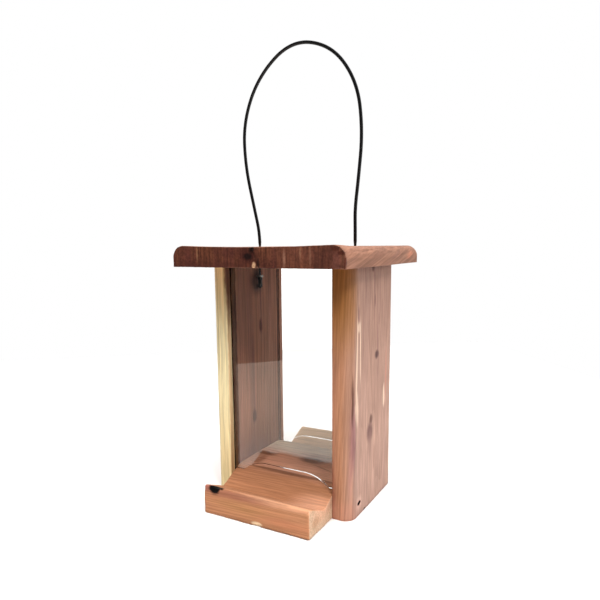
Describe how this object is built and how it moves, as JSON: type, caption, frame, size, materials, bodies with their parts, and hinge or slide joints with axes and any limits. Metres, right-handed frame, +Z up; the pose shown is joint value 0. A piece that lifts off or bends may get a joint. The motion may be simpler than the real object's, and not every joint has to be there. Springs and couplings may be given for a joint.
{
  "type": "hopper bird feeder",
  "caption": "Wooden hopper bird feeder with a flat roof that slides up its hanging cable, clear front and back windows, and a base with seed troughs.",
  "frame": {"origin": "middle of the base underside, on the surface that the feeder stands on", "axes": "+X to the right seen from the front, -Y to the front, +Z up"},
  "size_m": [0.17, 0.19, 0.4306],
  "materials": {
    "roof_cedar": "sawn, unfinished aromatic cedar",
    "left_panel_cedar": "planed, unfinished aromatic cedar",
    "right_panel_cedar": "planed, unfinished aromatic cedar",
    "base_cedar": "planed, unfinished aromatic cedar",
    "clear_plastic": "clear polished sheet",
    "coated_cable": "smooth black plastic coating on steel cable",
    "nail_steel": "dull steel",
    "staple_steel": "galvanised wire",
    "stop_metal": "blackened crimped sleeve"
  },
  "bodies": {
    "feeder": {"base_board": "base_cedar", "left_side_panel": "left_panel_cedar", "right_side_panel": "right_panel_cedar", "front_window": "clear_plastic", "back_window": "clear_plastic", "left_base_nails": "nail_steel", "right_base_nails": "nail_steel", "left_cable_staple": "staple_steel", "right_cable_staple": "staple_steel", "left_cable_stop": "stop_metal", "right_cable_stop": "stop_metal", "left_cable_tail": "coated_cable", "right_cable_tail": "coated_cable", "cable_loop": "coated_cable"},
    "roof": {"roof_board": "roof_cedar"}
  },
  "joints": [
    {"name": "roof_lift", "type": "slide", "parent": "feeder", "child": "roof", "axis": [0, 0, 1], "range_m": [0, 0.1], "deforming": ["cable_loop"]}
  ]
}
